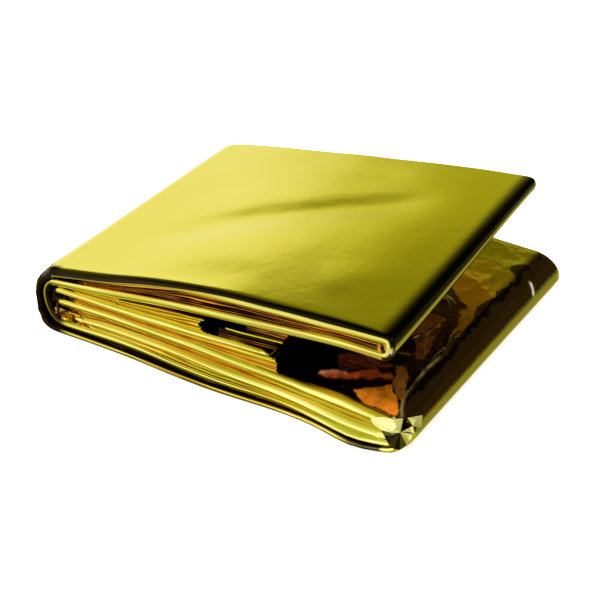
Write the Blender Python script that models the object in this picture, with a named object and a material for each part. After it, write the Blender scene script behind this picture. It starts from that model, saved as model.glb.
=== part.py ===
"""A folded emergency foil blanket, as it lies on a table with its top flap standing open.

The blanket is one metallised film sheet. It is pleated to a strip, and the strip is folded back and
forth into a packet of seven layers. The strip is one solid: a single section in X and Z that runs
through all seven layers and their turns, carried from the front edge to the back edge along Y.
"""

from collections import namedtuple

import bpy
import numpy as np

MM = 0.001

# Driving dimensions, in millimetres
PACKET_WIDTH = 104.6  # front edge to back edge, along Y
STRIP_THICKNESS = 2.0  # the film's pleats pressed together in one layer
EDGE_ROUNDING = 0.9  # how far the long edges are rounded in from the front and the back
EDGE_THICKNESS_SHARE = 0.5  # thickness left at the very edge
LAYER_STEP = 9.0  # longest step between two points along a layer
TABLE_SNAP = 0.05  # a point this close to the table lies on it
TURN_STEPS = 8
WIDTH_STATIONS = 11

# The packet was pushed out of square: upper layers lie further left at the back edge
SKEW_LOW = 1.5
SKEW_HIGH = 6.5
SKEW_FULL_HEIGHT = 20.0
EDGE_ZONE = 1 / 3  # share of the width over which a front or back edge's own shape fades out

# Where the front edges of the lower layers stand forward of the others
Bump = namedtuple("Bump", "x spread forward")

FRONT_BUMPS = (
    Bump(0.0, 22.0, 1.7),
    Bump(45.0, 8.0, 3.6),
)
BUMP_HEIGHT = 11.0
BUMP_FULL_SHARE = 0.25
CORNER_ROUNDING = 3.0
CORNER_ROUNDING_X = 55.0
CORNER_ROUNDING_LENGTH = 4.5
BACK_CORNER_ROUNDING = 4.0
BACK_CORNER_X = -50.0
BACK_CORNER_LENGTH = 14.0

# Soft troughs pressed into the flap
FLAP_TROUGH_DEPTH = 0.7
FLAP_TROUGH_Y = 8.0
FLAP_TROUGH_SLOPE = 0.16
FLAP_TROUGH_SPREAD = 7.0
FLAP_CROWN = 0.8
FLAP_RELIEF_START = -45.0
FLAP_RELIEF_RISE = 30.0
FLAP_RELIEF_END = 50.0
FLAP_RELIEF_FALL = 25.0

# Height of the middle of each layer, in millimetres, at stations from the spine to the open end
Station = namedtuple("Station", "x flap flap_lining tongue stack_top inner_top inner_low base")

FRONT = (
    Station(-50, 20.2, 17.0, 14.4, 10.9, 7.0, 3.9, 1.0),
    Station(-34, 23.4, 18.9, 14.5, 11.2, 7.9, 4.3, 1.0),
    Station(-18, 26.6, 20.9, 14.9, 11.3, 8.3, 3.9, 1.0),
    Station(-4, 29.2, 22.6, 15.5, 11.4, 8.1, 3.6, 1.0),
    Station(8, 30.8, 24.0, 16.2, 11.1, 7.6, 3.5, 1.0),
    Station(24, 32.5, 25.3, 16.3, 10.9, 6.9, 3.5, 1.0),
    Station(40, 32.6, 27.1, 16.3, 10.1, 6.3, 3.5, 1.0),
    Station(51, 31.0, 26.6, 16.3, 9.0, 6.1, 3.6, 1.0),
)
BACK = (
    Station(-50, 21.0, 17.6, 14.2, 10.6, 6.9, 3.8, 1.0),
    Station(-34, 23.3, 19.4, 14.3, 10.8, 7.2, 3.9, 1.0),
    Station(-18, 25.3, 21.2, 14.4, 10.8, 7.3, 3.8, 1.0),
    Station(-4, 27.2, 22.8, 14.6, 10.7, 7.1, 3.7, 1.0),
    Station(8, 28.5, 24.1, 14.8, 10.6, 6.9, 3.6, 1.0),
    Station(24, 30.4, 26.2, 14.8, 10.3, 6.7, 3.5, 1.0),
    Station(40, 32.0, 28.4, 14.8, 9.9, 6.4, 3.5, 1.0),
    Station(51, 32.8, 30.1, 14.8, 9.4, 6.2, 3.6, 1.0),
)

# The strip's run through the packet. Each layer goes from x = start to x = end, and the turn after it
# reaches past its end by reach. A larger square_in or square_out makes that half of the turn boxier.
Run = namedtuple("Run", "layer start end reach square_in square_out")

RUNS = (
    Run("tongue", 18.0, -52.0, 2.0, 2.0, 2.0),
    Run("stack_top", -52.0, 52.5, 6.3, 2.0, 2.4),
    Run("base", 53.0, -53.5, 7.5, 3.2, 1.9),
    Run("flap", -54.0, 51.5, 2.6, 2.0, 2.0),
    Run("flap_lining", 51.5, -53.0, 5.6, 2.0, 2.6),
    Run("inner_low", -50.5, 51.0, 1.3, 2.0, 2.0),
    Run("inner_top", 51.0, -47.0, 0.0, 2.0, 2.0),
)

FOIL_COLOUR = (0.78, 0.66, 0.10, 1.0)
FOIL_ROUGHNESS = 0.16
FOIL_METALLIC = 1.0


def clear_scene():
    for existing in list(bpy.data.objects):
        bpy.data.objects.remove(existing, do_unlink=True)


def smooth_step(share):
    share = np.clip(share, 0.0, 1.0)
    return share * share * (3.0 - 2.0 * share)


def layer_height(layer, x, depth):
    """Height of a layer's middle: a smooth curve through its stations, blended from front to back."""
    heights = []
    for table in (FRONT, BACK):
        stations = np.array([row.x for row in table], float)
        values = np.array([getattr(row, layer) for row in table], float)
        heights.append(smooth_curve(stations, values, x))
    return heights[0] + (heights[1] - heights[0]) * depth


def smooth_curve(stations, values, x):
    """Cubic Hermite curve through the stations, level with its neighbours' slope, straight past both ends."""
    slopes = np.gradient(values, stations)
    i = np.clip(np.searchsorted(stations, x) - 1, 0, len(stations) - 2)
    span = stations[i + 1] - stations[i]
    t = np.clip((x - stations[i]) / span, 0.0, 1.0)
    inside = (
        (2 * t**3 - 3 * t**2 + 1) * values[i]
        + (t**3 - 2 * t**2 + t) * span * slopes[i]
        + (3 * t**2 - 2 * t**3) * values[i + 1]
        + (t**3 - t**2) * span * slopes[i + 1]
    )
    before = np.minimum(x - stations[0], 0.0) * slopes[0]
    after = np.maximum(x - stations[-1], 0.0) * slopes[-1]
    return inside + before + after


def flap_relief(x, y):
    """The flap is crowned across its width and has one soft slanting trough."""
    across = y / (PACKET_WIDTH / 2)
    trough_line = y - FLAP_TROUGH_Y - FLAP_TROUGH_SLOPE * x
    trough = FLAP_TROUGH_DEPTH * np.exp(-((trough_line / FLAP_TROUGH_SPREAD) ** 2))
    rise = smooth_step((x - FLAP_RELIEF_START) / FLAP_RELIEF_RISE)
    fall = smooth_step((FLAP_RELIEF_END - x) / FLAP_RELIEF_FALL)
    return (FLAP_CROWN * (1.0 - across**2) - trough) * rise * fall


def layer_points(run, y, depth):
    steps = int(np.ceil(abs(run.end - run.start) / LAYER_STEP))
    x = np.linspace(run.start, run.end, steps + 1)
    z = layer_height(run.layer, x, depth)
    if run.layer == "flap":
        z = z + flap_relief(x, y)
    return np.stack([x, z], axis=1)


def turn_points(first, last, run):
    """Half a superellipse from the end of one layer to the start of the next, without its two ends."""
    angles = np.linspace(0.0, np.pi, TURN_STEPS + 1)[1:-1]
    down = np.cos(angles)
    square = np.where(down > 0.0, run.square_in, run.square_out)
    outwards = (1.0 - np.abs(down) ** square) ** (1.0 / square)
    share = (1.0 - down) / 2.0
    side = np.sign(run.end - run.start)
    x = first[0] + (last[0] - first[0]) * share + side * run.reach * outwards
    z = first[1] + (last[1] - first[1]) * share
    return np.stack([x, z], axis=1)


def strip_middle(y):
    """The strip's middle line in X and Z at one place across the width."""
    depth = smooth_step(y / PACKET_WIDTH + 0.5)
    layers = [layer_points(run, y, depth) for run in RUNS]
    pieces = []
    for run, layer, following in zip(RUNS, layers, layers[1:] + [None]):
        pieces.append(layer)
        if following is not None:
            pieces.append(turn_points(layer[-1], following[0], run))
    return np.concatenate(pieces)


def strip_sides(middle, thickness):
    """The two faces of the strip, half its thickness to each side of the middle line."""
    along = np.gradient(middle, axis=0)
    along /= np.linalg.norm(along, axis=1, keepdims=True)
    across = np.stack([-along[:, 1], along[:, 0]], axis=1)
    return middle + across * thickness / 2, middle - across * thickness / 2


def set_down(points):
    """Push the packet out of square, bring the lower front edges forward, and round two corners."""
    x, y, z = points[..., 0], points[..., 1], points[..., 2]
    depth = y / PACKET_WIDTH + 0.5
    skew = depth * (SKEW_LOW + SKEW_HIGH * np.clip(z / SKEW_FULL_HEIGHT, 0.0, 1.0))
    forward = smooth_step(1.0 - depth / EDGE_ZONE)
    backward = smooth_step(1.0 - (1.0 - depth) / EDGE_ZONE)
    low = smooth_step((BUMP_HEIGHT - z) / BUMP_HEIGHT + BUMP_FULL_SHARE)
    bumps = sum(bump.forward * np.exp(-(((x - bump.x) / bump.spread) ** 2)) for bump in FRONT_BUMPS)
    rounded = smooth_step((x - CORNER_ROUNDING_X) / CORNER_ROUNDING_LENGTH)
    shift = bumps * low - CORNER_ROUNDING * rounded**2
    drawn_in = BACK_CORNER_ROUNDING * smooth_step((BACK_CORNER_X - x) / BACK_CORNER_LENGTH)
    return np.stack([x - skew, y - shift * forward - drawn_in * backward, z], axis=-1)


def width_stations():
    """Places across the width and the thickness there: thin at both edges, full between them."""
    half = PACKET_WIDTH / 2
    inner = np.linspace(-half + EDGE_ROUNDING, half - EDGE_ROUNDING, WIDTH_STATIONS)
    places = np.concatenate([[-half], inner, [half]])
    shares = np.ones(len(places))
    shares[[0, -1]] = EDGE_THICKNESS_SHARE
    return places, shares * STRIP_THICKNESS


def strip_grid():
    """Points of the solid: one closed ring around the section for each place across the width."""
    rings = []
    for y, thickness in zip(*width_stations()):
        left, right = strip_sides(strip_middle(y), thickness)
        ring = np.concatenate([left, right[::-1]])
        rings.append(np.stack([ring[:, 0], np.full(len(ring), y), ring[:, 1]], axis=1))
    points = set_down(np.array(rings))
    on_table = points[..., 2] < TABLE_SNAP
    points[..., 2][on_table] = 0.0
    low, high = points.min(axis=(0, 1)), points.max(axis=(0, 1))
    centre = (low + high) / 2
    return points - (centre[0], centre[1], low[2])


def strip_faces(rows, columns):
    """Quads around and along the solid, and quads across the thickness that close both long edges."""
    faces = []
    for row in range(rows - 1):
        for column in range(columns):
            following = (column + 1) % columns
            here, there = row * columns, (row + 1) * columns
            faces.append((here + column, here + following, there + following, there + column))
    last = (rows - 1) * columns
    for column in range(columns // 2 - 1):
        opposite = columns - 1 - column
        faces.append((column, opposite, opposite - 1, column + 1))
        faces.append((last + column, last + column + 1, last + opposite - 1, last + opposite))
    return faces


def foil_material():
    material = bpy.data.materials.new("gold_foil")
    material.use_nodes = True
    shader = material.node_tree.nodes["Principled BSDF"]
    shader.inputs["Base Color"].default_value = FOIL_COLOUR
    shader.inputs["Roughness"].default_value = FOIL_ROUGHNESS
    shader.inputs["Metallic"].default_value = FOIL_METALLIC
    return material


def make_foil_blanket():
    grid = strip_grid() * MM
    rows, columns = grid.shape[:2]
    mesh = bpy.data.meshes.new("foil_blanket")
    mesh.from_pydata(grid.reshape(-1, 3).tolist(), [], strip_faces(rows, columns))
    mesh.materials.append(foil_material())
    mesh.shade_smooth()
    mesh.set_sharp_from_angle(angle=np.radians(50.0))
    blanket = bpy.data.objects.new("foil_blanket", mesh)
    bpy.context.scene.collection.objects.link(blanket)
    return blanket


clear_scene()
make_foil_blanket()
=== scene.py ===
"""The folded emergency foil blanket as it is photographed: the film, its finish, floor, light and camera.

Sizes are in millimetres in the packet's own frame, where the front edge is at y = -PACKET_WIDTH / 2 and
the strip's layers are given by height, and every point is moved to the shared frame in metres at the end.
"""

from collections import namedtuple

import bpy
import numpy as np
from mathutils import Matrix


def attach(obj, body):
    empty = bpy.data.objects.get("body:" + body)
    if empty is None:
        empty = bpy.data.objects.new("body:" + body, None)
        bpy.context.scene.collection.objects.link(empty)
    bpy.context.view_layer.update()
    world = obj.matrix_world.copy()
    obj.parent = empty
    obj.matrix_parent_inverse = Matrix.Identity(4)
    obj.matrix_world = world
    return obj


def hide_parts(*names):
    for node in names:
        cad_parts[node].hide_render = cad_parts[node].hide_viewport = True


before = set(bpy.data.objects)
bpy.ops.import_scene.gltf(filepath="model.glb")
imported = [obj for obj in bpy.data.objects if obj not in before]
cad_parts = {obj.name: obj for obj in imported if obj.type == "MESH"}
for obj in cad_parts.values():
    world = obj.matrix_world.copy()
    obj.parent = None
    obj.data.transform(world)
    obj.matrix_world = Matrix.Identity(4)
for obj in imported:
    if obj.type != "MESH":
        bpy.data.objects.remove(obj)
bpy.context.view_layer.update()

MM = 0.001

# The packet, as in the part
PACKET_WIDTH = 104.6
STRIP_THICKNESS = 2.0
PACKET_CENTRE = (-3.928, -1.794)
SKEW_LOW = 1.5
SKEW_HIGH = 6.5
SKEW_FULL_HEIGHT = 20.0
EDGE_ZONE = 1 / 3
Bump = namedtuple("Bump", "x spread forward height")
FRONT_BUMPS = (
    Bump(0.0, 22.0, 1.7, 11.0),
    Bump(44.0, 15.0, 2.2, 8.0),
    Bump(46.5, 8.0, 1.6, 3.0),
)
BUMP_FULL_SHARE = 0.25
CORNER_ROUNDING = 3.0
CORNER_ROUNDING_X = 55.0
CORNER_ROUNDING_LENGTH = 4.5
BACK_CORNER_ROUNDING = 4.0
BACK_CORNER_X = -50.0
BACK_CORNER_LENGTH = 14.0

# Height of the middle of each layer at stations from the spine to the open end
Station = namedtuple("Station", "x flap flap_lining tongue stack_top inner_top inner_low base")
FRONT = (
    Station(-50, 20.2, 17.0, 14.4, 10.9, 7.0, 3.9, 1.0),
    Station(-34, 23.0, 18.9, 14.5, 11.2, 7.9, 4.3, 1.0),
    Station(-18, 26.4, 20.9, 14.8, 11.2, 8.3, 3.9, 1.0),
    Station(-4, 28.4, 22.4, 15.1, 11.3, 8.1, 3.6, 1.0),
    Station(8, 29.6, 23.5, 15.8, 10.8, 7.6, 3.5, 1.0),
    Station(24, 30.6, 24.9, 16.3, 10.2, 6.8, 3.5, 1.0),
    Station(40, 31.3, 26.5, 16.3, 10.0, 6.3, 3.5, 1.0),
    Station(51, 31.5, 26.2, 16.3, 9.0, 6.1, 3.6, 1.0),
)
BACK = (
    Station(-50, 21.0, 17.6, 14.2, 10.6, 6.9, 3.8, 1.0),
    Station(-34, 23.3, 19.4, 14.3, 10.8, 7.2, 3.9, 1.0),
    Station(-18, 25.3, 21.2, 14.4, 10.8, 7.3, 3.8, 1.0),
    Station(-4, 27.2, 22.8, 14.6, 10.7, 7.1, 3.7, 1.0),
    Station(8, 28.5, 24.1, 14.8, 10.6, 6.9, 3.6, 1.0),
    Station(24, 30.4, 26.2, 14.8, 10.3, 6.7, 3.5, 1.0),
    Station(40, 32.0, 28.4, 14.8, 9.9, 6.4, 3.5, 1.0),
    Station(51, 32.8, 30.1, 14.8, 9.4, 6.2, 3.6, 1.0),
)

# The strip's run through the packet, the grid step along each layer and the columns in the turn after it
Run = namedtuple("Run", "layer start end reach square_in square_out step turn_columns")
RUNS = (
    Run("tongue", 19.0, -52.0, 2.0, 2.0, 2.0, 3.0, 10),
    Run("stack_top", -52.0, 52.5, 6.3, 2.0, 2.4, 1.1, 26),
    Run("base", 53.0, -53.5, 7.5, 3.2, 1.9, 4.0, 26),
    Run("flap", -54.0, 51.5, 2.4, 3.2, 2.4, 1.4, 22),
    Run("flap_lining", 51.5, -53.0, 5.6, 2.0, 2.6, 2.4, 14),
    Run("inner_low", -50.5, 54.6, 1.1, 2.0, 2.0, 3.6, 10),
    Run("inner_top", 54.6, -47.0, 0.0, 2.0, 2.0, 3.6, 0),
)
RUN_PLACE = {run.layer: index for index, run in enumerate(RUNS)}

# Shape of a layer's long edges. The left side is the one on the left hand along the strip's run:
# the top of the flap and of the stack, and the underside of the tongue, the lining and the inner top
Edge = namedtuple("Edge", "layer round_left round_right swell_left swell_right wander")
EDGES = (
    Edge("tongue", 1.4, 1.6, 0.0, 0.1, 0.35),
    Edge("stack_top", 1.8, 1.4, 0.1, 0.3, 0.25),
    Edge("base", 1.2, 1.6, 0.0, 0.0, 0.25),
    Edge("flap", 2.0, 1.2, 0.0, 0.8, 0.12),
    Edge("flap_lining", 1.2, 1.8, 0.6, 0.0, 0.2),
    Edge("inner_low", 1.5, 1.4, 0.0, 0.1, 0.35),
    Edge("inner_top", 1.4, 1.6, 0.1, 0.0, 0.35),
)
# How far each layer's front edge droops below its middle
DROOP = (
    Station(-50, 0.6, -0.3, 0.2, 0.1, 0.9, 0.3, 0.1),
    Station(-34, 0.5, -0.4, 0.2, 0.0, 0.9, 0.3, 0.1),
    Station(-18, 0.3, -0.5, 0.2, 0.2, 0.9, -0.4, 0.1),
    Station(-4, 0.2, -0.4, 0.2, 0.3, 0.9, -0.6, 0.1),
    Station(8, 0.3, -0.4, 0.2, 0.3, 0.9, -0.5, 0.1),
    Station(24, 0.4, -0.5, 0.2, 0.6, 1.4, 0.1, 0.1),
    Station(40, 0.5, 0.1, 0.2, 1.2, 1.8, 0.7, 0.1),
    Station(51, 0.1, -0.6, 0.2, 0.8, 2.0, 0.9, 0.1),
)
SIDE_ROWS = 76
FRONT_ROWS = 36
BACK_ROWS = 16
BACK_ROUNDING = 1.6
# Dents in the outer turn at the spine: the deepest one, and how far apart they are
SPINE_DENT = 1.3
SPINE_DENT_LENGTH = 2.6
# Ripples along the edges, the thinned ends of the strip, and the rows and columns of its grid
RIPPLE = 0.05
RIPPLE_ROWS = 5.0
END_COLUMNS = 4
END_THICKNESS_SHARE = 0.55

# Soft folds pressed into the flap: a height, how far it spreads, and the line that it follows
Fold = namedtuple("Fold", "height spread line")
FLAP_FOLDS = (
    Fold(-0.92, 8.6, ((-52, -34), (-34, -21), (-17, -9), (-2, 1), (7, 7), (28, 20), (46, 32))),
    Fold(0.12, 10.0, ((-6, -42), (6, -22), (19, -6))),
    Fold(0.18, 9.0, ((22, -37), (34, -30), (48, -26))),
    Fold(-0.12, 4.0, ((-17, 30), (2, 36), (21, 41))),
    Fold(-0.07, 1.5, ((24, 43), (38, 44), (51, 45))),
    Fold(-0.10, 3.0, ((-44, -27), (-30, -21), (-14, -19))),
    Fold(-0.18, 7.0, ((-30, -50), (-6, -46), (8, -34))),
)
FLAP_CROWN = 0.35

# Sharper folds in the open top of the stack: the crease along its rounded end, and creases under the flap
STACK_FOLDS = (
    Fold(0.50, 0.7, (
        (57.5, -54), (56.2, -49), (54.8, -45), (54, -40), (53.4, -34), (53.3, -23), (53.7, -16),
        (52, -9), (53, 0),
    )),
    Fold(-0.30, 2.0, ((59.5, -50), (57.4, -40), (56.5, -28), (56.6, -14), (56, -2))),
    Fold(1.3, 1.5, ((27, -47), (36, -43.5), (40, -41), (46, -31))),
    Fold(-0.9, 1.5, ((31, -50.5), (42, -44.5), (51, -38))),
    Fold(1.0, 1.8, ((30, -36), (38, -31), (47, -24))),
    Fold(-0.9, 1.3, ((33, -33), (40, -27.5), (49, -20))),
    Fold(0.5, 1.0, ((44, -40), (47, -36), (48, -30))),
    Fold(0.5, 0.9, ((44, -22), (46, -14), (48, -4))),
    Fold(-0.4, 1.1, ((47, -20), (49, -12), (51, -6))),
    Fold(0.5, 0.6, ((39, 8.5), (43.5, 7.6), (46.5, 5.0))),
)

# Colours of the film, by where it lies in the packet; the darker and paler ones are painted shade and
# highlights
GOLD = (0.90, 0.80, 0.075)
# Painted highlight tint: paler gold on the rounded front edges, so that their highlights come out pale
PALE_GOLD_HIGHLIGHT = (0.96, 0.91, 0.30)
# Painted highlight: cream facets of the pinched corner
CREAM_HIGHLIGHT = (1.0, 0.95, 0.40)
# Painted shade: deeper gold just behind the front edges, where layers face each other
DEEP_GOLD_SHADE = (0.85, 0.60, 0.06)
# Painted shade: bronze on the open top of the stack, under the flap
BRONZE_SHADE = (0.75, 0.40, 0.07)
AMBER = (0.86, 0.42, 0.045)
# Painted shade: red-brown of film deep between the layers
RED_BROWN_SHADE = (0.36, 0.14, 0.025)
# Painted shade: nearly black brown deep inside the packet and under the flap
SHADED = (0.10, 0.035, 0.012)
# Painted shade: nearly black under the flap, on the open top of the stack
STACK_SHADE = (0.07, 0.035, 0.02)
# Painted shade: nearly black, for film in deep shade
BLACK_SHADE = (0.022, 0.012, 0.010)
# Painted shade where the lowest inner layer and the base face each other
DARK_RED_SHADE = (0.055, 0.014, 0.004)
# Painted shade: the dark band on the flap's front and right edges
FLAP_EDGE_SHADE = (0.032, 0.021, 0.012)
# Painted highlight: the thin pale line under the flap's right rim
RIM_HIGHLIGHT = (0.64, 0.52, 0.30)
OUTER_TURN = (0.44, 0.37, 0.20)
ROUNDED_END = (0.50, 0.26, 0.10)

# Roughness of the film, the plies and the facets, and what the flap's underside and its top add to it
FILM_GLOSS = 0.07
PLY_GLOSS = 0.10
FACET_GLOSS = 0.08
LINING_HAZE = 0.38
FLAP_SATIN = 0.10
# Mirror share of the cream painted highlight facets
HIGHLIGHT_FACET_MIRROR = 0.45

# Painted light and shade in the open top of the stack: coloured places, each inside its outline, stand in for
# reflections and shade on the creased film, and the rest of it is nearly black painted shade
Patch = namedtuple("Patch", "colour mirror outline")
STACK_PATCHES = (
    Patch((0.62, 0.50, 0.06), 1.0, (
        (36, 52), (53.5, 52), (55.6, 48.9), (55.2, 45.4), (54.7, 41.0), (52.2, 38.7), (51.1, 35.2),
        (36, 38),
    )),
    Patch((0.66, 0.42, 0.07), 1.0, (
        (36, 38), (51.1, 35.2), (54.1, 32.8), (55.2, 29.5), (54.2, 27.6), (54.6, 25.2),
        (53.2, 20.2), (54.2, 17), (53.2, 14), (52.4, 11.8), (52.2, 7.3), (50.8, 6.4), (47.7, 8.6),
        (43.5, 12.1), (41.5, 14.5), (36, 17),
    )),
    Patch((0.58, 0.34, 0.09), 1.0, (
        (48.6, 4.6), (50.8, 7), (52, 6.8), (53.4, 1.9), (54.3, -6.5), (54.5, -13.6), (54.4, -21),
        (53, -16), (52.3, -10.9), (51.5, -4.3), (50.4, 0.6),
    )),
    Patch((0.52, 0.22, 0.07), 0.9, (
        (41, -2.9), (44.9, -1.8), (47.6, -1.4), (47.2, -5), (48.4, -9.5), (48.6, -13.8),
        (50.2, -19.3), (50.4, -24.2), (48.7, -25.8), (46.4, -19.3), (44, -17.6), (41.6, -12.7),
        (40.8, -7.8),
    )),
    Patch((0.20, 0.04, 0.015), 0.3, (
        (30.6, -35.8), (34.4, -34), (40, -31.3), (45.6, -32.4), (44.9, -34.4), (41.7, -38.6),
        (37.2, -39.3), (34, -41),
    )),
    Patch((0.52, 0.08, 0.02), 0.2, (
        (30.2, -47.1), (33.3, -45.2), (37.2, -43.4), (41.4, -39.8), (43.3, -37.4), (48.2, -36.2),
        (47.7, -37.5), (42.8, -41.2), (37.9, -44.8), (33, -47),
    )),
    Patch((1.0, 0.29, 0.018), 0.0, (
        (42.2, -47.7), (44.5, -44.4), (48.7, -39.8), (50.5, -42.4), (52.9, -44.4), (55.1, -48.6),
        (55, -51), (48, -51), (44.5, -50.2),
    )),
    Patch((0.40, 0.15, 0.02), 0.35, (
        (45.6, -31.6), (48.9, -30.6), (51, -34.4), (52.9, -39.3), (54.1, -44.6), (53, -44.2),
        (50.6, -41.6), (48.6, -38.6), (48, -35.7),
    )),
)
# Painted highlights and reflections along its folds: pale lines on the creases, a white glint, and orange and
# red streaks
Streak = namedtuple("Streak", "spread line colour mirror")
STACK_STREAKS = (
    Streak(0.5, ((30.5, -46.6), (34, -45), (38, -42.9)), (1.0, 0.45, 0.28), 0.1),
    Streak(0.4, (
        (57.5, -54), (56.1, -49), (55, -46.8), (54.1, -43.3), (53.8, -40.2), (53.5, -35),
        (53.5, -27), (53.8, -22), (54.2, -18),
    ), (0.80, 0.52, 0.18), 0.6),
    Streak(0.35, ((35, -31), (39, -33), (43, -33.5)), (0.50, 0.10, 0.06), 0.2),
    Streak(0.35, ((34, -37), (38, -36), (43, -36)), (0.45, 0.08, 0.05), 0.2),
    Streak(0.40, ((45.5, -7), (46.6, -13), (48, -18), (50, -22)), (0.50, 0.26, 0.10), 0.5),
    Streak(0.30, ((40, 7.6), (43.5, 7.1), (46, 4.6)), (0.85, 0.80, 0.60), 0.1),
    Streak(0.30, ((40.5, 10), (43.5, 9), (46.8, 6.4)), (0.70, 0.60, 0.40), 0.2),
    Streak(0.50, ((57.6, 34.4), (58.7, 33.0), (59.6, 32.1), (60.4, 30.4)), (1.0, 1.0, 0.95), 0.0),
)

# Loose plies that fill the gaps between the layers. The shares say how much of the gap's height they take,
# and each tone is one ply's colour from the lowest up: 0 is gold, 0.5 amber and 1 nearly black; the dark
# tones are painted shade deep in the gaps
Gap = namedtuple("Gap", "upper lower low_share high_share recess depth tones start end ragged")
GAPS = (
    Gap("flap", "flap_lining", 0.0, 1.0, 0.8, 1.0, (0.66, 0.84, 0.62, 0.80, 0.50), -47, 51.0, 0.5),
    Gap("flap_lining", "tongue", 0.0, 1.0, 0.6, 0.9, (0.12, 0.30, 0.05, 0.22, 0.15), -50, -31.0, 0.8),
    Gap("flap_lining", "tongue", 0.02, 0.40, 1.2, 0.8, (0.97, 0.90, 0.97), 1.5, 20.5, 0.8),
    Gap("flap_lining", "tongue", 0.40, 0.54, 0.7, 0.6, (0.05,), 4.0, 23.0, 0.5),
    Gap("flap_lining", "tongue", 0.54, 1.00, 1.8, 0.7, (0.70, 0.80, 0.92), 10.0, 22.8, 1.2),
    Gap("tongue", "stack_top", 0.0, 1.0, 0.6, 0.8, (0.35, 0.45, 0.12), -50, 21.0, 0.7),
    Gap("stack_top", "inner_top", 0.0, 1.0, 0.7, 1.1, (0.45, 0.22, 0.08), -49, 56.0, 0.3),
    Gap("inner_top", "inner_low", 0.0, 1.0, 0.6, 0.8, (0.20, 0.06), -46, 55.0, 0.3),
    Gap("inner_low", "base", 0.0, 1.0, 0.9, 1.0, (0.97, 0.90), -53, 57.0, 0.3),
    Gap("flap_lining", "tongue", 0.0, 0.70, 0.6, 0.9, (0.12, 0.30, 0.05, 0.22), -32.5, -2.5, 1.6),
    Gap("flap_lining", "tongue", 0.70, 0.84, 2.2, 0.4, (0.97,), -32.5, -1.5, 0.2),
    Gap("flap_lining", "tongue", 0.84, 1.0, 0.9, 0.6, (0.50,), -32.5, -3.0, 0.8),
)
PLY_STEP = 0.9
PLY_ROWS = 9
PLY_NESTING = 0.93
PLY_DROOP = 0.6
PLY_LEAST_ROOM = 0.15
PLY_TUCK = (3.0, 1.2)
OPEN_TOP_START = 18.0
OPEN_TOP_END = 62.0
OPEN_TOP_COLUMNS = 100
OPEN_TOP_TURN_COLUMNS = 33
OPEN_TOP_ROWS = 230
OPEN_TOP_FRONT_MARGIN = 1.5
OPEN_TOP_BACK_MARGIN = 1.6

# The front corner is pinched: facets fan out from a point to the rim, in and out by turns. Out is how far
# a point stands in front of the packet, and pale is 1 where the facet from this point to the next is a cream
# painted highlight;
# the other facets are nearly black painted shade
Facet = namedtuple("Facet", "x out z pale")
Fan = namedtuple("Fan", "point rim")
PINCHES = (
    Fan(Facet(57.6, 0.5, 6.4, 0), (
        Facet(49.6, 0.35, 8.2, 0.9),
        Facet(52.5, 0.1, 9.4, 0.8),
        Facet(55.5, -0.3, 9.6, 1.0),
        Facet(57.3, -1.5, 9.2, 0.0),
        Facet(59.5, -0.4, 7.2, 0.95),
        Facet(60.2, -0.1, 5.7, 0.3),
        Facet(60.0, 0.3, 5.1, 1.0),
        Facet(59.6, 0.5, 3.5, 0.7),
        Facet(58.9, 0.4, 2.4, 0.1),
        Facet(57.9, 0.5, 1.5, 0.0),
        Facet(56.8, 0.4, 2.0, 0.05),
        Facet(55.4, 0.7, 3.5, 0.0),
        Facet(54.0, 0.5, 5.1, 0.15),
        Facet(53.0, 0.7, 6.4, 0.95),
        Facet(50.5, 0.5, 7.2, 0.8),
        Facet(49.6, 0.35, 8.2, 0.8),
    )),
    Fan(Facet(59.5, -2.1, 8.0, 0), (
        Facet(57.9, -1.9, 9.0, 1.0),
        Facet(59.8, -5.6, 7.7, 1.0),
        Facet(60.6, -3.3, 5.7, 0.9),
        Facet(59.6, -0.5, 7.2, 1.0),
        Facet(57.9, -1.9, 9.0, 1.0),
    )),
)

# Crumpled ends of film in the front face; the tone is on film_tone's scale, and the nearly black one deep in
# the spine is painted shade
Scrap = namedtuple("Scrap", "left right low high recess relief grain tone")
SCRAPS = (
    Scrap(-56.5, -44.0, 3.0, 8.4, 0.8, 1.1, 1.7, 0.62),
    Scrap(-56.4, -51.5, 8.4, 14.6, 2.2, 0.6, 1.8, 0.97),
    Scrap(50.0, 53.4, 27.0, 30.6, 0.5, 1.2, 1.0, 0.62),
)

CAMERA_AZIMUTH = 32.2073
CAMERA_ELEVATION = 28.9447
CAMERA_DISTANCE = 0.373285
CAMERA_TARGET = (0.007536, -0.010904, 0.009375)
CAMERA_LENS = 78.0


def smooth_step(share):
    """3s^2 - 2s^3, held between 0 and 1."""
    share = np.clip(share, 0.0, 1.0)
    return share * share * (3.0 - 2.0 * share)


def smoother_step(share):
    """6s^5 - 15s^4 + 10s^3, held between 0 and 1."""
    share = np.clip(share, 0.0, 1.0)
    return share**3 * (share * (6.0 * share - 15.0) + 10.0)


def soft_noise(u, v, seed):
    """Random values on a lattice of whole u and v, blended with smoother steps between them."""
    values = np.random.default_rng(seed).uniform(-1.0, 1.0, (97, 97))
    i, j = np.floor(u).astype(int), np.floor(v).astype(int)
    a, b = smoother_step(u - i), smoother_step(v - j)
    i, j, k, m = i % 97, j % 97, (i + 1) % 97, (j + 1) % 97
    low = values[i, j] + (values[k, j] - values[i, j]) * a
    high = values[i, m] + (values[k, m] - values[i, m]) * a
    return low + (high - low) * b


def crumple(u, v, seed, octaves=3):
    """Creased relief from 0 to about 1: one minus the size of soft noise, turned and halved each octave."""
    total = 0.0
    for octave in range(octaves):
        turn = 0.7 + 1.1 * octave
        p = (u * np.cos(turn) - v * np.sin(turn)) * 2.0**octave
        q = (u * np.sin(turn) + v * np.cos(turn)) * 2.0**octave
        total = total + (1.0 - np.abs(soft_noise(p, q, seed + octave))) / 2.0**octave
    return total / 1.75


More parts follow.
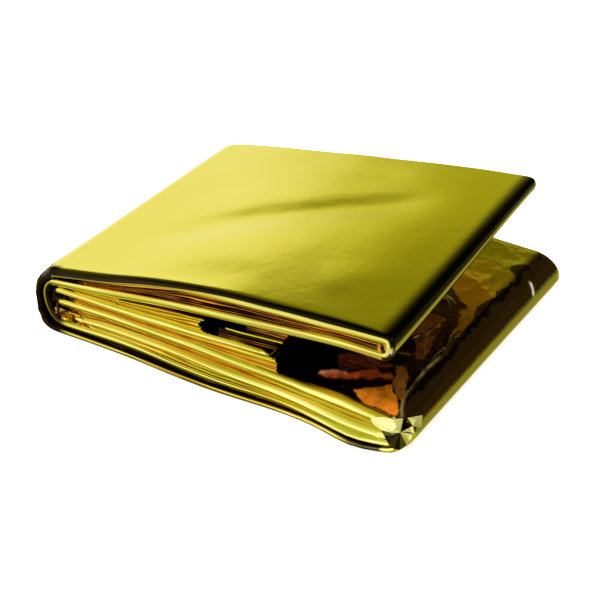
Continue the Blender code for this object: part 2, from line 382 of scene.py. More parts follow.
def smooth_curve(stations, values, x):
    """Cubic Hermite curve through the stations, level with its neighbours' slope, straight past both ends."""
    slopes = np.gradient(values, stations)
    i = np.clip(np.searchsorted(stations, x) - 1, 0, len(stations) - 2)
    span = stations[i + 1] - stations[i]
    t = np.clip((x - stations[i]) / span, 0.0, 1.0)
    inside = (
        (2 * t**3 - 3 * t**2 + 1) * values[i]
        + (t**3 - 2 * t**2 + t) * span * slopes[i]
        + (3 * t**2 - 2 * t**3) * values[i + 1]
        + (t**3 - t**2) * span * slopes[i + 1]
    )
    before = np.minimum(x - stations[0], 0.0) * slopes[0]
    after = np.maximum(x - stations[-1], 0.0) * slopes[-1]
    return inside + before + after


def layer_height(layer, x, y):
    """Height of a layer's middle: its front and back curves, blended across the width."""
    depth = smooth_step(y / PACKET_WIDTH + 0.5)
    heights = []
    for table in (FRONT, BACK):
        stations = np.array([row.x for row in table], float)
        values = np.array([getattr(row, layer) for row in table], float)
        heights.append(smooth_curve(stations, values, x))
    return heights[0] + (heights[1] - heights[0]) * depth


def line_distance(x, y, line):
    """Distance to a line of straight pieces, and how far along it the nearest point is, from 0 to 1."""
    points = np.array(line, float)
    lengths = np.linalg.norm(np.diff(points, axis=0), axis=1)
    start = np.concatenate([[0.0], np.cumsum(lengths)])
    nearest = np.full(np.shape(x), np.inf)
    along = np.zeros(np.shape(x))
    for i, length in enumerate(lengths):
        step = (points[i + 1] - points[i]) / length
        reach = np.clip((x - points[i, 0]) * step[0] + (y - points[i, 1]) * step[1], 0.0, length)
        gap = np.hypot(x - points[i, 0] - step[0] * reach, y - points[i, 1] - step[1] * reach)
        closer = gap < nearest
        nearest = np.where(closer, gap, nearest)
        along = np.where(closer, start[i] + reach, along)
    return nearest, along / start[-1]


def fold_relief(x, y, folds):
    """Sum of the folds: each is its height times a bell across its line, tapered to nothing at both ends."""
    total = np.zeros(np.shape(x))
    for fold in folds:
        distance, along = line_distance(x, y, fold.line)
        taper = smooth_step(along / 0.3) * smooth_step((1.0 - along) / 0.3)
        total = total + fold.height * np.exp(-((distance / fold.spread) ** 2)) * taper
    return total


def flap_relief(x, y):
    """The flap is crowned across its width and has soft slanting folds, level at the spine and the end."""
    across = y / (PACKET_WIDTH / 2)
    rise = smooth_step((x + 45.0) / 30.0)
    fall = smooth_step((50.0 - x) / 25.0)
    wave = 0.05 * soft_noise(x / 19.0 + 3.0, y / 16.0 + 7.0, 11)
    return (FLAP_CROWN * (1.0 - across**2) + wave + fold_relief(x, y, FLAP_FOLDS)) * rise * fall


def stack_relief(x, y):
    """The open part of the stack top is creased film: ridged noise that grows towards the open end."""
    grown = smooth_step((x - 16.0) / 14.0)
    return grown * 0.45 * (crumple(x / 13.0, y / 15.0, 31) - 0.6)


def layer_relief(layer, x, y):
    if layer == "flap":
        return flap_relief(x, y)
    if layer == "stack_top":
        return stack_relief(x, y)
    return 0.0 * x


def strip_parts():
    """The grid's columns in path order: a layer's x places, then the angles of the turn that follows."""
    parts = []
    for run, following in zip(RUNS, RUNS[1:] + (None,)):
        steps = int(np.ceil(abs(run.end - run.start) / run.step))
        parts.append((run, None, np.linspace(run.start, run.end, steps + 1)))
        if following is not None:
            parts.append((run, following, np.linspace(0.0, np.pi, run.turn_columns + 2)[1:-1]))
    return parts


def layer_middle(run, x, y):
    return x, layer_height(run.layer, x, y) + layer_relief(run.layer, x, y)


def turn_middle(run, following, angles, y):
    """Half a superellipse in X and Z from the end of one layer to the start of the next."""
    x_first, z_first = layer_middle(run, np.full(np.shape(y), run.end), y)
    x_last, z_last = layer_middle(following, np.full(np.shape(y), following.start), y)
    down = np.cos(angles)
    square = np.where(down > 0.0, run.square_in, run.square_out)
    outwards = (1.0 - np.abs(down) ** square) ** (1.0 / square)
    share = (1.0 - down) / 2.0
    side = np.sign(run.end - run.start)
    x = x_first + (x_last - x_first) * share + side * run.reach * outwards
    return x, z_first + (z_last - z_first) * share


def column_values(field):
    """An edge value for each column: the layer's own, and a blend of its two layers' through a turn."""
    own = {edge.layer: getattr(edge, field) for edge in EDGES}
    values = []
    for run, following, places in strip_parts():
        if following is None:
            values.append(np.full(len(places), float(own[run.layer])))
        else:
            share = smooth_step(places / np.pi)
            values.append(own[run.layer] + (own[following.layer] - own[run.layer]) * share)
    return np.concatenate(values)


def column_swell():
    """The flap's front edge is thin near the spine and swells towards the open end."""
    values = []
    for run, following, places in strip_parts():
        if run.layer == "flap" and following is None:
            values.append(smooth_step((places + 20.0) / 20.0))
        else:
            values.append(np.ones(len(places)))
    return np.concatenate(values)


def droop_at(layer, x):
    stations = np.array([row.x for row in DROOP], float)
    values = np.array([getattr(row, layer) for row in DROOP], float)
    return smooth_curve(stations, values, np.clip(x, stations[0], stations[-1]))


def column_droop():
    """Each column's droop towards the strip's right side, blended through the turns."""
    values = []
    for run, following, places in strip_parts():
        towards = np.sign(run.end - run.start)
        if following is None:
            values.append(towards * droop_at(run.layer, places))
        else:
            first = towards * droop_at(run.layer, run.end)
            last = -towards * droop_at(following.layer, following.start)
            values.append(first + (last - first) * smooth_step(places / np.pi))
    return np.concatenate(values)


def column_turned():
    """How far each column is through a turn, from 0 to 1, and 0 along the layers."""
    return np.concatenate([places / np.pi if after else 0.0 * places for _, after, places in strip_parts()])


def strip_middle(y):
    """The strip's middle line in X and Z for every row and column of y."""
    xs, zs, first = [], [], 0
    for run, following, places in strip_parts():
        here = y[:, first : first + len(places)]
        first += len(places)
        places = np.broadcast_to(places, here.shape)
        if following is None:
            x, z = layer_middle(run, places, here)
        else:
            x, z = turn_middle(run, following, places, here)
        xs.append(x)
        zs.append(z)
    return np.concatenate(xs, axis=1), np.concatenate(zs, axis=1)


def ring_profile(columns):
    """Y and offset from the middle for each row of the ring around the strip, and how far round it is.

    The ring runs over the left side from the back to the front, round the front edge through half an
    ellipse, over the right side to the back, and round the back edge. Around is 0 on the left side, 1 on
    the right side and between them on the two edges.
    """
    half = PACKET_WIDTH / 2
    thick = STRIP_THICKNESS / 2
    left, right = column_values("round_left"), column_values("round_right")
    swell_left, swell_right = column_values("swell_left"), column_values("swell_right")
    t = np.linspace(0.0, 1.0, SIDE_ROWS)[:, None]
    t = 1.5 * t - 0.5 * t**2
    back = half - BACK_ROUNDING
    left_y = back + (-half + left - back) * t
    right_y = (-half + right) + (back + half - right) * (1.0 - t[::-1])
    angle = (np.pi * np.arange(1, FRONT_ROWS + 1) / (FRONT_ROWS + 1))[:, None]
    front_y = -half + np.where(angle < np.pi / 2, left, right) * (1.0 - np.sin(angle))
    lobe = np.sin(2.0 * angle)
    swell_right = swell_right * column_swell()
    front_h = thick * np.cos(angle) - column_droop() * np.sin(angle)
    front_h = front_h + np.where(angle < np.pi / 2, swell_left, swell_right) * lobe
    turn = (np.pi * np.arange(1, BACK_ROWS + 1) / (BACK_ROWS + 1))[:, None]
    back_y = half - BACK_ROUNDING * (1.0 - np.sin(turn)) + 0.0 * left
    back_h = -thick * np.cos(turn) + 0.0 * left
    flat = np.ones((SIDE_ROWS, columns))
    y = np.concatenate([left_y, front_y, right_y, back_y])
    h = np.concatenate([flat * thick, front_h, -flat * thick, back_h])
    around = np.concatenate([flat * 0.0, angle / np.pi + 0.0 * left, flat, 1.0 - turn / np.pi + 0.0 * left])
    return y, h, around


def set_down(x, y, z):
    """Push the packet out of square, bring the lower front edges forward, and round two corners."""
    depth = y / PACKET_WIDTH + 0.5
    skew = depth * (SKEW_LOW + SKEW_HIGH * np.clip(z / SKEW_FULL_HEIGHT, 0.0, 1.0))
    forward = smooth_step(1.0 - depth / EDGE_ZONE)
    backward = smooth_step(1.0 - (1.0 - depth) / EDGE_ZONE)
    bumps = 0.0
    for bump in FRONT_BUMPS:
        low = smooth_step(1.0 - z / bump.height + BUMP_FULL_SHARE)
        bumps = bumps + bump.forward * np.exp(-(((x - bump.x) / bump.spread) ** 2)) * low
    rounded = smooth_step((x - CORNER_ROUNDING_X) / CORNER_ROUNDING_LENGTH)
    shift = bumps - CORNER_ROUNDING * rounded**2
    drawn_in = BACK_CORNER_ROUNDING * smooth_step((BACK_CORNER_X - x) / BACK_CORNER_LENGTH)
    points = np.stack([x - skew, y - shift * forward - drawn_in * backward, np.maximum(z, 0.0)], axis=-1)
    return (points - (PACKET_CENTRE[0], PACKET_CENTRE[1], 0.0)) * MM


def grid_faces(rows, columns, closed):
    """Quads between neighbouring rows and columns; a closed grid joins its last row to its first."""
    r = np.arange(rows if closed else rows - 1)[:, None]
    c = np.arange(columns - 1)[None, :]
    after = (r + 1) % rows
    corners = [r * columns + c, after * columns + c, after * columns + c + 1, r * columns + c + 1]
    return np.stack(corners, axis=-1).reshape(-1, 4)


def cap_faces(rows, columns, column, flip):
    """Quads across the ring's two halves that close one end of the strip."""
    front = SIDE_ROWS + np.arange(FRONT_ROWS)
    back = 2 * SIDE_ROWS + FRONT_ROWS + np.arange(BACK_ROWS)
    left = np.concatenate([back[BACK_ROWS // 2 :], np.arange(SIDE_ROWS), front[: FRONT_ROWS // 2]])
    low_back = back[: BACK_ROWS // 2][::-1]
    low_side = SIDE_ROWS + FRONT_ROWS + np.arange(SIDE_ROWS)[::-1]
    right = np.concatenate([low_back, low_side, front[FRONT_ROWS // 2 :][::-1]])
    quads = np.stack([left[:-1], left[1:], right[1:], right[:-1]], axis=-1) * columns + column
    return quads[:, ::-1] if flip else quads


def make_piece(name, material, points, faces, tint, gloss, mirror=1.0, smooth=True):
    """A mesh object at the origin that keeps the film's colour, gloss and mirror share at its points."""
    tint = tint.reshape(-1, 3)
    mesh = bpy.data.meshes.new(name)
    mesh.from_pydata(points.reshape(-1, 3).tolist(), [], faces.tolist())
    colour = mesh.attributes.new("film_tint", "FLOAT_COLOR", "POINT")
    rgba = np.concatenate([tint, np.ones((len(tint), 1))], axis=1)
    colour.data.foreach_set("color", rgba.astype(np.float32).ravel())
    for attribute_name, value in (("film_roughness", gloss), ("film_mirror", mirror)):
        attribute = mesh.attributes.new(attribute_name, "FLOAT", "POINT")
        values = np.broadcast_to(np.ravel(value), len(tint))
        attribute.data.foreach_set("value", values.astype(np.float32))
    mesh.materials.append(material)
    if smooth:
        mesh.shade_smooth()
    mesh.update()
    piece = bpy.data.objects.new(name, mesh)
    bpy.context.scene.collection.objects.link(piece)
    return piece


def gather(grids):
    """The points, faces and tints of several grids as one mesh's, with the faces' numbers counted on."""
    points, faces, tints = zip(*grids)
    points = [each.reshape(-1, 3) for each in points]
    starts = np.cumsum([0] + [len(each) for each in points[:-1]])
    faces = [each + start for each, start in zip(faces, starts)]
    tints = [each.reshape(-1, 3) for each in tints]
    return np.concatenate(points), np.concatenate(faces), np.concatenate(tints)


def blend_colour(first, second, share):
    return np.asarray(first) + (np.asarray(second) - np.asarray(first)) * share[..., None]


def film_tone(tone):
    """Gold at 0, amber at 0.5, red-brown at 0.75 and nearly black at 1; the dark end of the scale is painted
    shade.
    """
    steps = np.array([0.0, 0.5, 0.75, 1.0])
    colours = np.array([GOLD, AMBER, RED_BROWN_SHADE, BLACK_SHADE])
    return np.stack([np.interp(tone, steps, colours[:, i]) for i in range(3)], axis=-1)


def patch_share(x, y, outline, seed):
    """1 inside an outline and 0 outside, with an edge that noise makes ragged.

    A point is inside where a level line from it crosses an odd number of the outline's sides.
    """
    closed = outline + outline[:1]
    inside = np.zeros(x.shape, bool)
    for (x_first, y_first), (x_last, y_last) in zip(closed, closed[1:]):
        if y_first != y_last:
            crossing = x_first + (y - y_first) * (x_last - x_first) / (y_last - y_first)
            inside ^= ((y_first > y) != (y_last > y)) & (x < crossing)
    distance = line_distance(x, y, closed)[0]
    ragged = 0.35 * soft_noise(x / 1.8, y / 1.8, seed) + 0.2 * soft_noise(x / 0.9, y / 0.9, seed + 1)
    return smooth_step((np.where(inside, distance, -distance) + ragged) / 0.4 + 0.5)


def film_colour(x, y, around, run_index, turned, along):
    """Gold outside, with painted light and shade elsewhere: deeper gold, bronze and nearly black where layers
    face each other and deep inside as painted shade, and dark bands and pale lines as painted shade and
    highlights.

    Each colour is blended in by a share from 0 to 1: a product of smooth steps in X, in how far the
    point is behind the nearer edge, how far round the strip, and how far through a turn.
    """
    on = {layer: run_index == index for layer, index in RUN_PLACE.items()}
    behind = PACKET_WIDTH / 2 - np.abs(y)
    front = np.sin(np.pi * around) * (y < 0.0)
    left = around < 0.5
    flap_top, stack_top = on["flap"] & left, on["stack_top"] & left
    outside = flap_top | (on["base"] & left)
    stack = stack_top & (x > 15.0)
    # Pale gold on the rounded front edges as a painted highlight tint; painted shade behind them, deeper gold
    # just behind and dark further in, less towards the open right side
    inner_shade = smooth_step((behind - 0.6) / 2.0) * ~(outside | stack)
    streak = np.clip(1.2 * soft_noise(along / 24.0, around * 9.0, 41) + 0.1, 0.0, 1.0)
    tint = film_tone(0.40 * streak * front * ~outside + 0.2 * on["base"] * front)
    low = np.where(on["base"], 0.35, 1.0)
    tint = blend_colour(tint, PALE_GOLD_HIGHLIGHT, front * low * (1.0 - 0.8 * streak))
    tint = blend_colour(tint, DEEP_GOLD_SHADE, inner_shade)
    open_side = smooth_step((x - 6.0) / 20.0) * (on["flap_lining"] & left)
    tint = blend_colour(tint, SHADED, inner_shade * smooth_step((behind - 3.5) / 6.0) * (1.0 - open_side))
    # The open top of the stack, bronze and nearly black further under the flap as painted shade, and the turn
    # at its right end
    open_top = smooth_step((behind - 0.3) / 1.2) * (stack & (turned < 0.5))
    tint = blend_colour(tint, BRONZE_SHADE, open_top * smooth_step((56.0 - x) / 4.0))
    tint = blend_colour(tint, SHADED, open_top * smooth_step((38.0 - x) / 10.0))
    rounded = smooth_step((x - 55.0) / 1.0) * smooth_step((0.51 - turned) / 0.02)
    tint = blend_colour(tint, ROUNDED_END, rounded * smooth_step((behind - 0.8) / 1.5) * stack)
    outer = smooth_step((turned - 0.49) / 0.02) * smooth_step((behind - 1.0) / 2.0)
    tint = blend_colour(tint, OUTER_TURN, outer * stack_top)
    # Painted shade: a dark band round the front and right edges of the flap, standing in for a dark
    # reflection, with a thin painted highlight line under the right one
    front_band = smooth_step((2.5 - behind) / 1.5) * (y < 0.0)
    turn_band = (turned > 0.0) * smooth_step((behind - 0.8) / 1.0 + (turned < 0.25))
    side_band = np.maximum(smooth_step((x - 49.0) / 3.5) * (turned == 0.0), turn_band)
    lower_limit = 0.52 - 0.08 * smooth_step((x + 20.0) / 30.0)
    band = np.maximum(front_band, side_band) * smooth_step((lower_limit - around) / 0.05 + 0.5)
    tint = blend_colour(tint, FLAP_EDGE_SHADE, band * on["flap"])
    # Painted highlight along the flap's right rim
    rim = smooth_step((turned - 0.42) / 0.03) * smooth_step((0.62 - turned) / 0.03)
    tint = blend_colour(tint, RIM_HIGHLIGHT, rim * flap_top)
    # Painted shade: the turns at the spine are dark in front, with a thin paler line along the middle one
    spine_end = smooth_step((-50.5 - x) / 2.5) * smooth_step((3.5 - behind) / 2.0)
    thin_line = smooth_step((front - 0.975) / 0.02) * on["flap_lining"]
    inner_turn = (on["flap_lining"] | on["tongue"]) & (turned > 0.1)
    tint = blend_colour(tint, BLACK_SHADE, spine_end * (1.0 - 0.7 * thin_line) * inner_turn)
    # Painted shade on the outside at the spine, in front
    outer_end = smooth_step((-51.0 - x) / 2.0) * smooth_step((4.0 - behind) / 2.0) * (y < 0.0)
    tint = blend_colour(tint, BLACK_SHADE, outer_end * (on["base"] | flap_top))
    # Painted shade: dark red where the lowest inner layer and the base face each other
    facing = (on["inner_low"] | on["base"]) & (front > 0.02)
    tint = blend_colour(tint, DARK_RED_SHADE, smooth_step((around - 0.64) / 0.08) * facing)
    # Painted shade: the lowest edge is dark towards the pinched corner
    low_edge = smooth_step((x - 43.0) / 3.0) * smooth_step((57.0 - x) / 3.0) * on["base"]
    return blend_colour(tint, BLACK_SHADE, 0.92 * low_edge * (front > 0.05))


def make_film(material):
    """The whole strip of film: one closed surface around all seven layers and their turns.

    A point is the strip's middle plus the ring's offset along its normal. Soft noise makes the edges
    ripple and wander, and dents the outer turn at the spine near its front edge.
    """
    parts = strip_parts()
    columns = sum(len(places) for _, _, places in parts)
    y, h, around = ring_profile(columns)
    front = np.sin(np.pi * around) * (y < 0.0)
    rear = np.sin(np.pi * around) * (y > 0.0)
    x, z = strip_middle(y)
    across_x, across_z = -np.gradient(z, axis=1), np.gradient(x, axis=1)
    length = np.hypot(across_x, across_z)
    run_length = np.cumsum(length[SIDE_ROWS])[None, :]
    run_index = np.concatenate([np.full(len(places), RUNS.index(run)) for run, _, places in parts])
    run_index = np.broadcast_to(run_index, x.shape)
    turned = np.broadcast_to(column_turned(), x.shape)
    front_rows, rear_rows = np.cumsum(front > 0.0, axis=0), np.cumsum(rear > 0.0, axis=0)
    ripple_front = RIPPLE * soft_noise(run_length / 14.0, front_rows / RIPPLE_ROWS, 5) * np.sqrt(front)
    ripple_back = RIPPLE * soft_noise(run_length / 14.0 + 9.0, rear_rows / RIPPLE_ROWS, 6)
    ripple = ripple_front + ripple_back * np.sqrt(rear)
    wander = column_values("wander") * soft_noise(run_length / 17.0, 0.0 * x + 2.5, 8)
    wander_back = column_values("wander") * soft_noise(run_length / 17.0, 0.0 * x + 7.5, 9)
    near_front = smooth_step((7.0 - PACKET_WIDTH / 2 - y) / 6.0)
    dent = SPINE_DENT * np.abs(soft_noise(run_length / SPINE_DENT_LENGTH, 0.0 * x + 4.5, 12))
    dent = dent * near_front * smooth_step(turned / 0.15) * smooth_step((1.0 - turned) / 0.15)
    end = np.ones(columns)
    end[:END_COLUMNS] = np.linspace(END_THICKNESS_SHARE, 1.0, END_COLUMNS + 1)[:-1]
    end[-END_COLUMNS:] = end[:END_COLUMNS][::-1]
    offset = h * end + ripple * np.sign(h)
    px = x + across_x / length * offset + dent * (run_index == RUN_PLACE["base"])
    pz = z + across_z / length * offset
    py = y - (ripple + wander) * front + (ripple_back + wander_back) * rear
    faces = [grid_faces(*x.shape, closed=True)]
    faces.append(cap_faces(*x.shape, column=0, flip=False))
    faces.append(cap_faces(*x.shape, column=columns - 1, flip=True))
    tint = film_colour(x, y, around, run_index, turned, run_length + 0.0 * x)
    hazy = (run_index == RUN_PLACE["flap_lining"]) & (around < 0.5)
    satin = (run_index == RUN_PLACE["flap"]) & (around < 0.5)
    gloss = FILM_GLOSS + LINING_HAZE * smooth_step(x / 20.0) * hazy
    gloss = gloss + FLAP_SATIN * smooth_step((PACKET_WIDTH / 2 - np.abs(y) - 1.0) / 5.0) * satin
    film = make_piece("foil_film", material, set_down(px, py, pz), np.concatenate(faces), tint, gloss)
    return film, float(run_length.max())


def gap_limits(gap, x, edge):
    """Heights of the lower layer's top and the upper layer's underside, just behind their drooping edges."""
    low = layer_height(gap.lower, x, edge) + PLY_NESTING * STRIP_THICKNESS / 2
    high = layer_height(gap.upper, x, edge) - PLY_NESTING * STRIP_THICKNESS / 2
    if edge.flat[0] < 0.0:
        low, high = low - PLY_DROOP * droop_at(gap.lower, x), high - PLY_DROOP * droop_at(gap.upper, x)
    room = np.maximum(high - low, PLY_LEAST_ROOM)
    return low + room * gap.low_share, low + room * gap.high_share


def repeat_rims(grid):
    """The grid with its first row and its last row twice more, for the tucked edges."""
    return np.concatenate([grid[:1], grid[:1], grid, grid[-1:], grid[-1:]])


def make_plies(material, name, side, seed):
    """Loose plies that show between the layers, one corrugated sheet for each gap.

    The depth is the recess, plus the corrugation's depth times one minus the size of a sine that has
    one arch for each ply. The arches wander with soft noise, and the sheet tucks in at its two edges.
    """
    grids = []
    tuck = np.array(PLY_TUCK)[:, None]
    for index, gap in enumerate(GAPS):
        plies = len(gap.tones)
        columns = int((gap.end - gap.start) / PLY_STEP) + 2
        share = np.linspace(0.0, 1.0, plies * PLY_ROWS + 1)[:, None]
        ends = gap.end + gap.ragged * soft_noise(share * plies * 1.3 + 3.0 * index, 0.0 * share, seed + 5)
        x = gap.start + (ends - gap.start) * np.linspace(0.0, 1.0, columns)[None, :]
        low, high = gap_limits(gap, x, side * PACKET_WIDTH / 2 + 0.0 * x)
        slow = soft_noise(x / 24.0 + 2.0 * index, share * 1.4 + side, seed)
        quick = soft_noise(x / 9.0, share * plies / 1.5 + index, seed + 1)
        shifted = np.clip(share + (0.20 * slow + 0.05 * quick) * np.sin(np.pi * share), 0.0, 1.0)
        arch = np.abs(np.sin(np.pi * plies * shifted)) ** 0.8
        which = np.minimum((shifted * plies).astype(int), plies - 1)
        lively = soft_noise(x / 14.0, which + 7.0 * index, seed + 2)
        fine = soft_noise(x / 2.2, which + 5.0, seed + 3)
        mottled = soft_noise(x / 4.0, which + 11.0, seed + 4)
        depth = gap.recess + gap.depth * (1.0 - arch) + 0.22 * lively + 0.05 * fine
        closing = smooth_step((x - gap.start) / (5.0 if gap.start < -40 else 1.2))
        depth = depth + 1.5 * (1.0 - closing)
        depth = np.concatenate([depth[:1] + tuck, depth, depth[-1:] + tuck[::-1]])
        tone = np.clip(np.array(gap.tones)[which] + 0.16 * lively + 0.12 * mottled, 0.0, 1.0)
        # Painted shade: each ply darker in the valleys between its arches
        tint = film_tone(tone) * (1.0 - 0.75 * (1.0 - arch) ** 1.5)[..., None]
        x, z, tint = repeat_rims(x), repeat_rims(low + (high - low) * share), repeat_rims(tint)
        points = set_down(x, side * (PACKET_WIDTH / 2 - depth), z)
        faces = grid_faces(*x.shape, closed=False)
        grids.append((points, faces[:, ::-1] if side > 0 else faces, tint))
    return make_piece(name, material, *gather(grids), PLY_GLOSS)


def make_open_top(material):
    """The creased ply on the open top of the stack, from under the flap to the middle of the rounded end.

    It lies just above the film, follows its middle line, and is lifted along its normal by the folds,
    by ridged noise and by a little fine noise. Its colours are painted light and shade: nearly black painted
    shade, with patches and streaks that stand in for reflections, highlights and a glint.
    """
    run, following = RUNS[1], RUNS[2]
    front_end = -PACKET_WIDTH / 2 + OPEN_TOP_FRONT_MARGIN
    back_end = PACKET_WIDTH / 2 - OPEN_TOP_BACK_MARGIN
    y = np.linspace(front_end, back_end, OPEN_TOP_ROWS)[:, None]
    places = np.linspace(OPEN_TOP_START, run.end, OPEN_TOP_COLUMNS)[None, :]
    angles = np.linspace(0.0, 0.5 * np.pi, OPEN_TOP_TURN_COLUMNS + 1)[None, 1:]
    x, z = layer_middle(run, places + 0.0 * y, y + 0.0 * places)
    x_turn, z_turn = turn_middle(run, following, angles + 0.0 * y, y + 0.0 * angles)
    x, z = np.concatenate([x, x_turn], axis=1), np.concatenate([z, z_turn], axis=1)
    y = y + 0.0 * x
    step_x, step_z = np.gradient(x, axis=1), np.gradient(z, axis=1)
    step = np.hypot(step_x, step_z)
    s = OPEN_TOP_START + np.cumsum(step, axis=1) - step
    rim = smooth_step((y - front_end) / 2.0) * smooth_step((back_end - y) / 2.0)
    rim = rim * smooth_step((s - OPEN_TOP_START) / 3.0) * smooth_step((OPEN_TOP_END - s) / 3.0)
    grown = smooth_step((s - 24.0) / 8.0)
    rough = 0.34 - 0.26 * smooth_step((y + 12.0) / 22.0)
    creased = rough * (crumple(s / 5.0 + 5.0, y / 6.5, 47) - 0.4) + fold_relief(s, y, STACK_FOLDS)
    flat_end = 1.0 - 0.85 * smooth_step((s - 54.0) / 2.0)
    lift = STRIP_THICKNESS / 2 + 0.1 + rim * (0.1 + grown * np.maximum(creased * flat_end, -0.15))
    points = set_down(x - step_z / step * lift, y, z + step_x / step * lift)
    # Painted shade everywhere but the patches, which stand in for reflections
    tint = np.broadcast_to(STACK_SHADE, x.shape + (3,))
    # Painted light and shade: the tint mottled lighter and darker in a creased pattern
    crease_shading = np.clip(0.45 + 0.8 * crumple(s / 2.6, y / 3.4, 83) ** 2, 0.3, 1.15)
    crease_shading = 1.0 + (crease_shading - 1.0) * smooth_step((8.0 - y) / 16.0)
    mirror = np.ones(x.shape)
    for index, patch in enumerate(STACK_PATCHES):
        share = patch_share(s, y, patch.outline, 90 + 2 * index)
        tint = blend_colour(tint, patch.colour, share)
        mirror = mirror + (patch.mirror - mirror) * share
    tint = tint * crease_shading[..., None]
    jagged = 55.4 + 0.8 * soft_noise(y / 3.6, 0.0 * y, 57) + 0.5 * soft_noise(y / 1.4, 0.0 * y, 58)
    rounded = smooth_step((s - jagged) / 0.5)
    tint = blend_colour(tint, ROUNDED_END, rounded)
    tint = blend_colour(tint, OUTER_TURN, smooth_step((s - 59.8) / 0.4))
    mirror = mirror + (1.0 - mirror) * rounded
    # Painted highlights, glint and reflections along the folds, with the mirror share lowered under them
    for streak in STACK_STREAKS:
        distance, along = line_distance(s, y, streak.line)
        taper = smooth_step(along / 0.15) * smooth_step((1.0 - along) / 0.15)
        uneven = np.clip(0.75 + 0.6 * soft_noise(s / 2.4, y / 2.4, 77), 0.0, 1.0)
        share = np.exp(-((distance / streak.spread) ** 2)) * taper * uneven
        tint = blend_colour(tint, streak.colour, share)
        mirror = mirror + (streak.mirror - mirror) * share
    faces = grid_faces(*x.shape, closed=False)[:, ::-1]
    return make_piece("open_top_ply", material, points, faces, tint, PLY_GLOSS, mirror)


def make_pinched_corner(material):
    """Facets between each fan's point and its rim: each is flat, with its own two edges and its own tone, a
    cream painted highlight or nearly black painted shade.
    """
    grids, shares = [], []
    steps = np.linspace(0.0, 1.0, 5)[:, None, None, None]
    for fan in PINCHES:
        rim = np.array([row[:3] for row in fan.rim], float)
        pale = np.array([row.pale for row in fan.rim[:-1]], float)
        middle = np.array(fan.point[:3])
        packet = middle + (np.stack([rim[:-1], rim[1:]], axis=1) - middle) * steps
        points = set_down(packet[..., 0], -PACKET_WIDTH / 2 - packet[..., 1], packet[..., 2])
        row = 2 * len(pale)
        first = np.arange(len(steps) - 1)[:, None] * row + 2 * np.arange(len(pale))[None, :]
        faces = np.stack([first, first + 1, first + 1 + row, first + row], axis=-1).reshape(-1, 4)
        share = np.broadcast_to(pale[None, :, None], points.shape[:3])
        grids.append((points, faces, blend_colour(np.broadcast_to(BLACK_SHADE, points.shape), CREAM_HIGHLIGHT, share)))
        shares.append(share.ravel())
    mirror = 1.0 - (1.0 - HIGHLIGHT_FACET_MIRROR) * np.concatenate(shares)
    return make_piece("pinched_corner", material, *gather(grids), FACET_GLOSS, mirror, smooth=False)


def make_scraps(material):
    """Crumpled ends of film: upright patches whose depth is ridged noise, tucked in at their rims."""
    grids = []
    u, v = np.meshgrid(np.linspace(0.0, 1.0, 40), np.linspace(0.0, 1.0, 24))
    rim = smooth_step(np.minimum(np.minimum(u, 1.0 - u), np.minimum(v, 1.0 - v)) / 0.12)
    for index, scrap in enumerate(SCRAPS):
        x = scrap.left + (scrap.right - scrap.left) * u
        z = scrap.low + (scrap.high - scrap.low) * v
        rise = crumple(x / scrap.grain, z / scrap.grain, 120 + 4 * index, 2) - 0.6
        depth = scrap.recess - scrap.relief * rise + 1.5 * (1.0 - rim)
        tone = np.clip(scrap.tone + 0.6 * soft_noise(x / 1.1, z / 1.1, 140 + index), 0.0, 1.0)
        points = set_down(x, -PACKET_WIDTH / 2 + depth, z)
        grids.append((points, grid_faces(*x.shape, closed=False)[:, ::-1], film_tone(tone)))
    return make_piece("crumpled_ends", material, *gather(grids), PLY_GLOSS)


def film_material(name):
    """Metallised film: colour, roughness and mirror share from the mesh, with fine waves in the surface."""
    material = bpy.data.materials.new(name)
    material.use_nodes = True
    nodes, links = material.node_tree.nodes, material.node_tree.links
    shader = nodes["Principled BSDF"]
    shader.inputs["Specular IOR Level"].default_value = 0.2
    for attribute_name, output, socket in (
        ("film_mirror", "Fac", "Metallic"),
        ("film_tint", "Color", "Base Color"),
        ("film_roughness", "Fac", "Roughness"),
    ):
        attribute = nodes.new("ShaderNodeAttribute")
        attribute.attribute_name = attribute_name
        links.new(attribute.outputs[output], shader.inputs[socket])
    coordinates = nodes.new("ShaderNodeTexCoord")
    waves = nodes.new("ShaderNodeTexNoise")
    waves.inputs["Scale"].default_value = 140.0
    waves.inputs["Detail"].default_value = 3.0
    links.new(coordinates.outputs["Object"], waves.inputs["Vector"])
    bump = nodes.new("ShaderNodeBump")
    bump.inputs["Strength"].default_value = 0.06
    bump.inputs["Distance"].default_value = 0.001
    links.new(waves.outputs["Fac"], bump.inputs["Height"])
    links.new(bump.outputs["Normal"], shader.inputs["Normal"])
    return material


